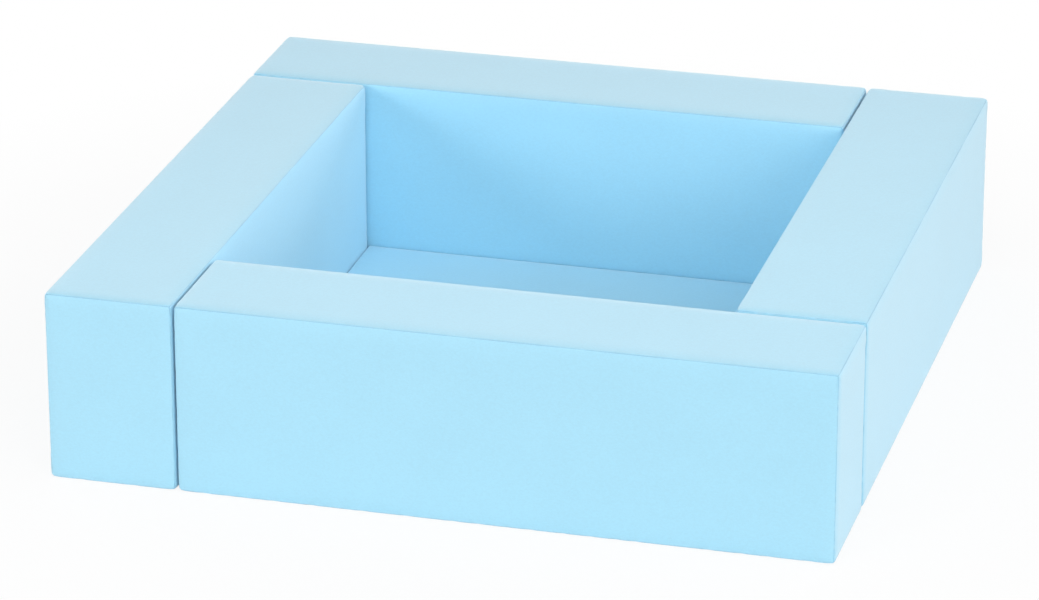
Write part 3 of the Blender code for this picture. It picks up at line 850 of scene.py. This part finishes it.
def make_strip(name, thickness, base_cloth, pile, thread):
    """A strip lying flat, its back on z = 0: a woven border round a raised field of hooks or loops."""
    x, y = STRIP_SIZE[0] / 2, STRIP_SIZE[1] / 2
    strip = start_block(name, (-x, -y, 0), (x, y, STRIP_BASE))
    pick(strip, "edges", lambda edge: abs(edge.verts[0].co.z - edge.verts[1].co.z) > ON_PLANE)
    bpy.ops.mesh.bevel(offset=STRIP_CORNER, segments=4, affect="EDGES")
    pick(strip, "faces", lambda face: face.normal.z > MOSTLY_ALONG)
    bpy.ops.mesh.inset(thickness=STRIP_BORDER)
    bpy.ops.mesh.extrude_region_move(TRANSFORM_OT_translate={"value": (0, 0, thickness - STRIP_BASE)})
    pick(strip, "edges", lambda edge: all(vert.co.z > thickness - ON_PLANE for vert in edge.verts))
    bpy.ops.mesh.bevel(offset=PILE_EDGE, segments=2, affect="EDGES")
    strip.data.materials.append(base_cloth)
    strip.data.materials.append(pile)
    pick(strip, "faces", lambda face: face.calc_center_median().z > STRIP_BASE + ON_PLANE)
    strip.active_material_index = 1
    bpy.ops.object.material_slot_assign()
    bpy.ops.object.mode_set(mode="OBJECT")
    keep_flat_place(strip)
    bpy.ops.object.shade_smooth_by_angle(angle=STRIP_SMOOTH_BELOW)
    stitched_half = (x - STRIP_STITCH_INSET, y - STRIP_STITCH_INSET)
    stitches = sew_rectangle(name + "_border", Vector((0, 0, STRIP_BASE)), stitched_half, thread)
    return join(name, [strip, stitches])


def sew_on(strip, node, faces):
    """Copies a flat strip to where a CAD strip of the front wall is, turned to face a direction."""
    placed = duplicate(strip)
    low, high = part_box(node)
    back = (low + high) / 2
    axis = 0 if abs(faces.x) > abs(faces.y) else 1
    back[axis] = high[axis] if faces[axis] < 0 else low[axis]
    placed.rotation_euler = (QUARTER_TURN, 0, math.atan2(faces.x, -faces.y))
    placed.location = back
    settle(placed)
    return placed


white_cloth = make_woven(
    "strip_border", weave, STRIP_THREADS, STRIP_SHADOW, STRIP_WHITE, STRIP_WEAVE_DEPTH)
white_thread = make_nylon("white_thread", STRIP_WHITE, THREAD_ROUGHNESS)
for kind, thickness, pile, faces in (
    ("hook", HOOK_THICK, make_hooks(), Vector((-1, 0, 0))),
    ("loop", LOOP_THICK, make_loops(), Vector((0, 1, 0))),
):
    flat_strip = make_strip(kind + "_flat", thickness, white_cloth, pile, white_thread)
    for side in ("inner", "outer"):
        node = "_" + kind + "_strip_" + side
        placed = sew_on(flat_strip, "front_wall" + node, faces)
        for wall, strip in copy_round(placed, "_sewn" + node):
            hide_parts(wall + node)
            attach(strip, wall)
    bpy.data.objects.remove(flat_strip)

# Studio. A seamless white floor under soft boxes, with a low key lamp at the front left, fill lamps round
# the rest, and the camera that the photograph was taken with, found from the pit's straight edges.

FLOOR_SIDE = 60
FLOOR_DROP = 0.0003
FLOOR_WHITE = (0.80, 0.80, 0.80, 1)
SHADOW_SHARE = 0.12
SHADOW_REACH = (0.75, 1.5)
WORLD_STRENGTH = 0.12
SUNS = (  # name, degrees left of the front, degrees up, spread in degrees, energy
    ("low_key", 30, 12, 15, 0.59),
    ("high_front", 0, 40, 40, 0.35),
    ("front_fill", -40, 20, 30, 0.61),
    ("side_fill", -90, 15, 30, 0.66),
    ("back_right", -150, 10, 30, 0.95),
    ("back_left", 130, 10, 30, 1.00),
)
SOFT_BOXES = (  # name, place, side, energy
    ("overhead_front", (0, -1.4, 2.6), 1.5, 16.5),
    ("overhead_left", (-1.6, -0.6, 2.4), 1.5, 4.0),
    ("overhead_right", (1.6, 0, 2.4), 1.5, 10.8),
    ("overhead_back", (0, 1.4, 2.4), 1.5, 3.2),
    ("near_right", (2.2, -2.6, 0.8), 1.4, 7.9),
    ("near_left", (-2.0, -2.6, 0.9), 1.2, 8.2),
)

CAMERA_PLACE = (1.8598, -7.0088, 3.0758)
CAMERA_ELEVATION = math.radians(22.220)
CAMERA_AZIMUTH = math.radians(15.111)
CAMERA_ROLL = math.radians(-0.054)
CAMERA_LENS = 172.445
CAMERA_REACH = 100


def seen_directly(tree):
    """One for what the camera sees, itself or in a reflection, and nought for all other light."""
    rays = add_node(tree, "ShaderNodeLightPath")
    seen = add_node(tree, "ShaderNodeMath", operation="MAXIMUM")
    tree.links.new(rays.outputs["Is Camera Ray"], seen.inputs[0])
    tree.links.new(rays.outputs["Is Glossy Ray"], seen.inputs[1])
    return seen.outputs[0]


def make_floor():
    """White to the camera and in reflections, with a share of the object's shadow kept round it."""
    material, tree, shader = start_material("white_floor", Roughness=0.9)
    shader.inputs["Base Color"].default_value = FLOOR_WHITE
    glow = add_node(tree, "ShaderNodeEmission", {"Strength": 1})
    shaded = add_node(tree, "ShaderNodeBsdfDiffuse", {"Color": (1, 1, 1, 1)})
    distance = add_node(tree, "ShaderNodeVectorMath", operation="LENGTH")
    near, far = SHADOW_REACH
    fade = add_node(
        tree, "ShaderNodeMapRange", {"From Min": near, "From Max": far, "To Min": 1 - SHADOW_SHARE})
    tree.links.new(object_coordinates(tree), distance.inputs[0])
    tree.links.new(distance.outputs["Value"], fade.inputs["Value"])
    white = add_node(tree, "ShaderNodeMixShader")
    tree.links.new(fade.outputs["Result"], white.inputs["Fac"])
    tree.links.new(shaded.outputs["BSDF"], white.inputs[1])
    tree.links.new(glow.outputs["Emission"], white.inputs[2])
    mix = add_node(tree, "ShaderNodeMixShader")
    tree.links.new(seen_directly(tree), mix.inputs["Fac"])
    tree.links.new(shader.outputs["BSDF"], mix.inputs[1])
    tree.links.new(white.outputs["Shader"], mix.inputs[2])
    tree.links.new(mix.outputs["Shader"], tree.nodes["Material Output"].inputs["Surface"])
    return material


def hang_lamp(name, kind, energy):
    lamp = bpy.data.objects.new(name, bpy.data.lights.new(name, kind))
    lamp.data.energy = energy
    lamp.visible_camera = False
    bpy.context.scene.collection.objects.link(lamp)
    return lamp


def light_studio():
    """The world is white to the camera and in reflections, and adds a little light from all round."""
    world = bpy.data.worlds.new("studio")
    bpy.context.scene.world = world
    world.use_nodes = True
    tree = world.node_tree
    background = tree.nodes["Background"]
    background.inputs["Color"].default_value = (1, 1, 1, 1)
    strength = add_node(tree, "ShaderNodeMapRange", {"To Min": WORLD_STRENGTH, "To Max": 1})
    tree.links.new(seen_directly(tree), strength.inputs["Value"])
    tree.links.new(strength.outputs["Result"], background.inputs["Strength"])
    for name, azimuth, elevation, spread, energy in SUNS:
        lamp = hang_lamp(name, "SUN", energy)
        lamp.data.angle = math.radians(spread)
        lamp.rotation_euler = (QUARTER_TURN - math.radians(elevation), 0, -math.radians(azimuth))
    for name, place, side, energy in SOFT_BOXES:
        lamp = hang_lamp(name, "AREA", energy)
        lamp.data.size = side
        lamp.location = place
        lamp.rotation_euler = lamp.location.to_track_quat("Z", "Y").to_euler()


def set_camera():
    camera = bpy.data.objects.new("camera", bpy.data.cameras.new("camera"))
    camera.data.lens = CAMERA_LENS
    camera.data.clip_end = CAMERA_REACH
    tilt = Matrix.Rotation(QUARTER_TURN - CAMERA_ELEVATION, 4, "X")
    turn = Matrix.Rotation(CAMERA_AZIMUTH, 4, "Z")
    roll = Matrix.Rotation(CAMERA_ROLL, 4, "Z")
    camera.matrix_world = Matrix.Translation(CAMERA_PLACE) @ turn @ tilt @ roll
    bpy.context.scene.collection.objects.link(camera)
    bpy.context.scene.camera = camera


deselect_all()
bpy.ops.mesh.primitive_plane_add(size=FLOOR_SIDE, location=(0, 0, -FLOOR_DROP))
floor = bpy.context.object
floor.name = floor.data.name = "studio_floor"
floor.data.materials.append(make_floor())
light_studio()
set_camera()
bpy.context.scene.view_settings.view_transform = "Standard"
